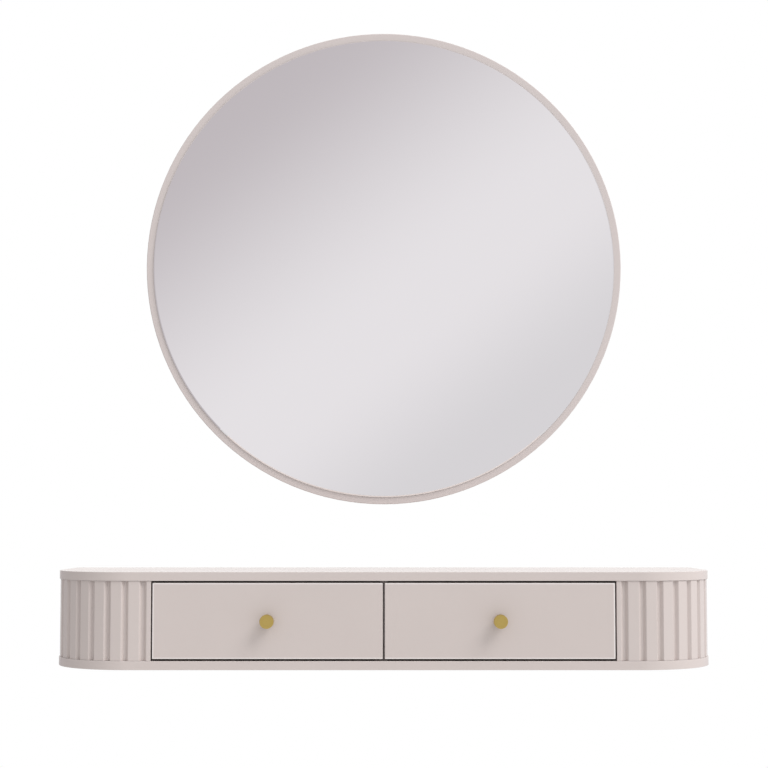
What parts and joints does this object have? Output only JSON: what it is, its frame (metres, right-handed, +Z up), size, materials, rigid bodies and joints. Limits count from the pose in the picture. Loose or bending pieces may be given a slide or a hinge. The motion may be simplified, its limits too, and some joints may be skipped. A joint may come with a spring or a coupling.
{
  "type": "wall-hung dressing table with mirror",
  "caption": "Wall-hung dressing table with fluted round corners, drawers with brass knobs on telescopic runners, and a round wall mirror above it.",
  "frame": {"origin": "middle of the wall cleat's back face, on the wall plane and on the object's centre line", "axes": "+Z up, +X to the viewer's right, +Y into the wall, so the drawers open towards -Y"},
  "size_m": [1, 0.2812, 1.027],
  "materials": {
    "lacquer": "satin lacquer on MDF",
    "plywood": "birch plywood, clear coat",
    "pine": "planed softwood",
    "zinc_steel": "zinc plated",
    "brass": "satin",
    "mirror_glass": "silvered, polished"
  },
  "bodies": {
    "console": {"top_board": "lacquer", "bottom_board": "lacquer", "left_gable": "lacquer", "right_gable": "lacquer", "centre_divider": "lacquer", "back_panel": "lacquer", "left_fluted_panel": "lacquer", "right_fluted_panel": "lacquer", "mirror_board": "lacquer", "mirror_glass": "mirror_glass", "hung_cleat": "pine", "wall_cleat": "pine", "cleat_screw_1": "zinc_steel", "cleat_screw_2": "zinc_steel", "cleat_screw_3": "zinc_steel", "cleat_screw_4": "zinc_steel", "left_hanger": "zinc_steel", "left_hanger_lower_screw": "zinc_steel", "left_hanger_upper_screw": "zinc_steel", "left_drawer_divider_cabinet_rail": "zinc_steel", "left_drawer_gable_cabinet_rail": "zinc_steel", "right_hanger": "zinc_steel", "right_hanger_lower_screw": "zinc_steel", "right_hanger_upper_screw": "zinc_steel", "right_drawer_divider_cabinet_rail": "zinc_steel", "right_drawer_gable_cabinet_rail": "zinc_steel"},
    "left_drawer": {"left_drawer_front": "lacquer", "left_drawer_divider_side": "plywood", "left_drawer_gable_side": "plywood", "left_drawer_back": "plywood", "left_drawer_bottom": "plywood", "left_drawer_knob": "brass", "left_drawer_knob_bolt": "zinc_steel", "left_drawer_divider_drawer_rail": "zinc_steel", "left_drawer_gable_drawer_rail": "zinc_steel"},
    "left_middle_rails": {"left_drawer_divider_middle_rail": "zinc_steel", "left_drawer_gable_middle_rail": "zinc_steel"},
    "right_drawer": {"right_drawer_front": "lacquer", "right_drawer_divider_side": "plywood", "right_drawer_gable_side": "plywood", "right_drawer_back": "plywood", "right_drawer_bottom": "plywood", "right_drawer_knob": "brass", "right_drawer_knob_bolt": "zinc_steel", "right_drawer_divider_drawer_rail": "zinc_steel", "right_drawer_gable_drawer_rail": "zinc_steel"},
    "right_middle_rails": {"right_drawer_divider_middle_rail": "zinc_steel", "right_drawer_gable_middle_rail": "zinc_steel"}
  },
  "joints": [
    {"name": "left_drawer_slide", "type": "slide", "parent": "console", "child": "left_drawer", "axis": [0, -1, 0], "range_m": [0, 0.19]},
    {"name": "left_middle_rail_slide", "type": "slide", "parent": "console", "child": "left_middle_rails", "axis": [0, -1, 0], "range_m": [0, 0.095]},
    {"name": "right_drawer_slide", "type": "slide", "parent": "console", "child": "right_drawer", "axis": [0, -1, 0], "range_m": [0, 0.19]},
    {"name": "right_middle_rail_slide", "type": "slide", "parent": "console", "child": "right_middle_rails", "axis": [0, -1, 0], "range_m": [0, 0.095]}
  ],
  "couplings": [
    {"joint": "left_middle_rail_slide", "follows": "left_drawer_slide", "ratio": 0.5},
    {"joint": "right_middle_rail_slide", "follows": "right_drawer_slide", "ratio": 0.5}
  ]
}
